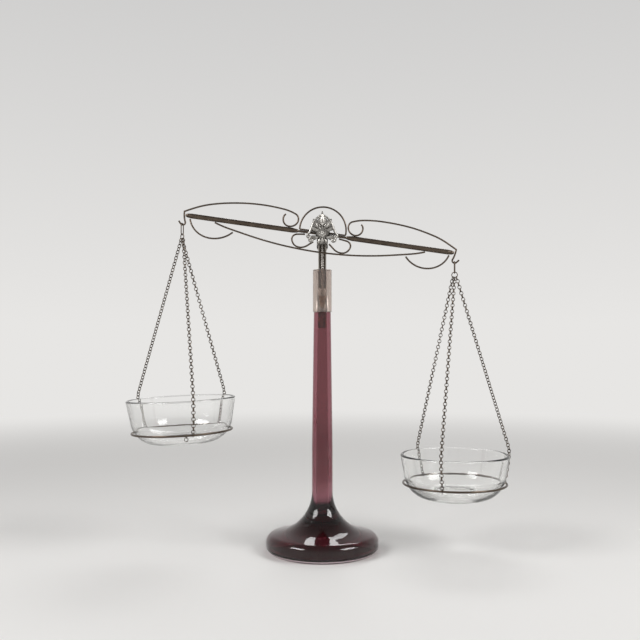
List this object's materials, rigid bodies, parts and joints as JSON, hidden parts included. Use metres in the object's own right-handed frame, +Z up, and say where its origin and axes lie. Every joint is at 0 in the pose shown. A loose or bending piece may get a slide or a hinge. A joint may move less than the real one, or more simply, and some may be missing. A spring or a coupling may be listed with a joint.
{
  "type": "apothecary balance",
  "caption": "Beam balance: glass column with a bun foot, scrolled wire beam on a cast yoke, glass bowls in wire hoops on fine chains.",
  "frame": {"origin": "on the column's axis at the flat ring that the foot stands on", "axes": "+X right along the beam, +Y to the rear, +Z up"},
  "size_m": [0.386, 0.1126, 0.3478],
  "materials": {
    "purple_glass": "thick amethyst glass, fire polished",
    "frosted": "frosted, grey-brown, translucent",
    "cork": "cork",
    "iron": "dark iron, oiled",
    "bronze": "dark oxidised bronze, worn",
    "pewter": "antique pewter casting",
    "chain": "dark oxidised chain",
    "clear_glass": "clear pressed glass"
  },
  "bodies": {
    "stand": {"glass_column": "purple_glass", "frosted_collar": "frosted", "cork_bung": "cork", "hanger_screw": "iron", "yoke_channel": "bronze", "front_ornament": "pewter", "rear_cheek": "bronze", "pivot_pin": "iron", "pivot_washers": "iron", "pivot_nut": "iron", "cheek_rivets": "iron"},
    "beam": {"beam_hub": "bronze", "left_arm_rod": "bronze", "right_arm_rod": "bronze", "centre_loop": "bronze", "left_top_scroll": "bronze", "right_top_scroll": "bronze", "lower_bow": "bronze", "left_swag": "bronze", "right_swag": "bronze", "left_curl": "bronze", "right_curl": "bronze"},
    "left_hanger": {"left_long_ring": "bronze"},
    "right_hanger": {"right_long_ring": "bronze"},
    "left_pan": {"left_gather_ring": "bronze", "left_front_chain": "chain", "left_inner_chain": "chain", "left_outer_chain": "chain", "left_hoop": "bronze"},
    "right_pan": {"right_gather_ring": "bronze", "right_front_chain": "chain", "right_inner_chain": "chain", "right_outer_chain": "chain", "right_hoop": "bronze"},
    "left_dish": {"left_bowl": "clear_glass"},
    "right_dish": {"right_bowl": "clear_glass"}
  },
  "joints": [
    {"name": "beam_tilt", "type": "hinge", "parent": "stand", "child": "beam", "pos_m": [0, 0, 0.3156], "axis": [0, 1, 0], "range_deg": [-16, 0]},
    {"name": "left_ring_hang", "type": "hinge", "parent": "beam", "child": "left_hanger", "pos_m": [-0.14003, 0, 0.32678], "axis": [0, 1, 0], "range_deg": [0, 16]},
    {"name": "right_ring_hang", "type": "hinge", "parent": "beam", "child": "right_hanger", "pos_m": [0.13229, 0, 0.28851], "axis": [0, 1, 0], "range_deg": [0, 16]},
    {"name": "left_pan_swing", "type": "hinge", "parent": "left_hanger", "child": "left_pan", "pos_m": [-0.14003, 0, 0.31558], "axis": [1, 0, 0], "range_deg": [-15, 15]},
    {"name": "right_pan_swing", "type": "hinge", "parent": "right_hanger", "child": "right_pan", "pos_m": [0.13229, 0, 0.27731], "axis": [1, 0, 0], "range_deg": [-15, 15]},
    {"name": "left_bowl_turn", "type": "hinge", "parent": "left_pan", "child": "left_dish", "pos_m": [-0.14003, 0, 0.11918], "axis": [-0.0436, 0, 0.999], "continuous": true},
    {"name": "right_bowl_turn", "type": "hinge", "parent": "right_pan", "child": "right_dish", "pos_m": [0.13229, 0, 0.06691], "axis": [0, 0, 1], "continuous": true}
  ],
  "couplings": [
    {"joint": "left_ring_hang", "follows": "beam_tilt", "ratio": -1},
    {"joint": "right_ring_hang", "follows": "beam_tilt", "ratio": -1}
  ]
}
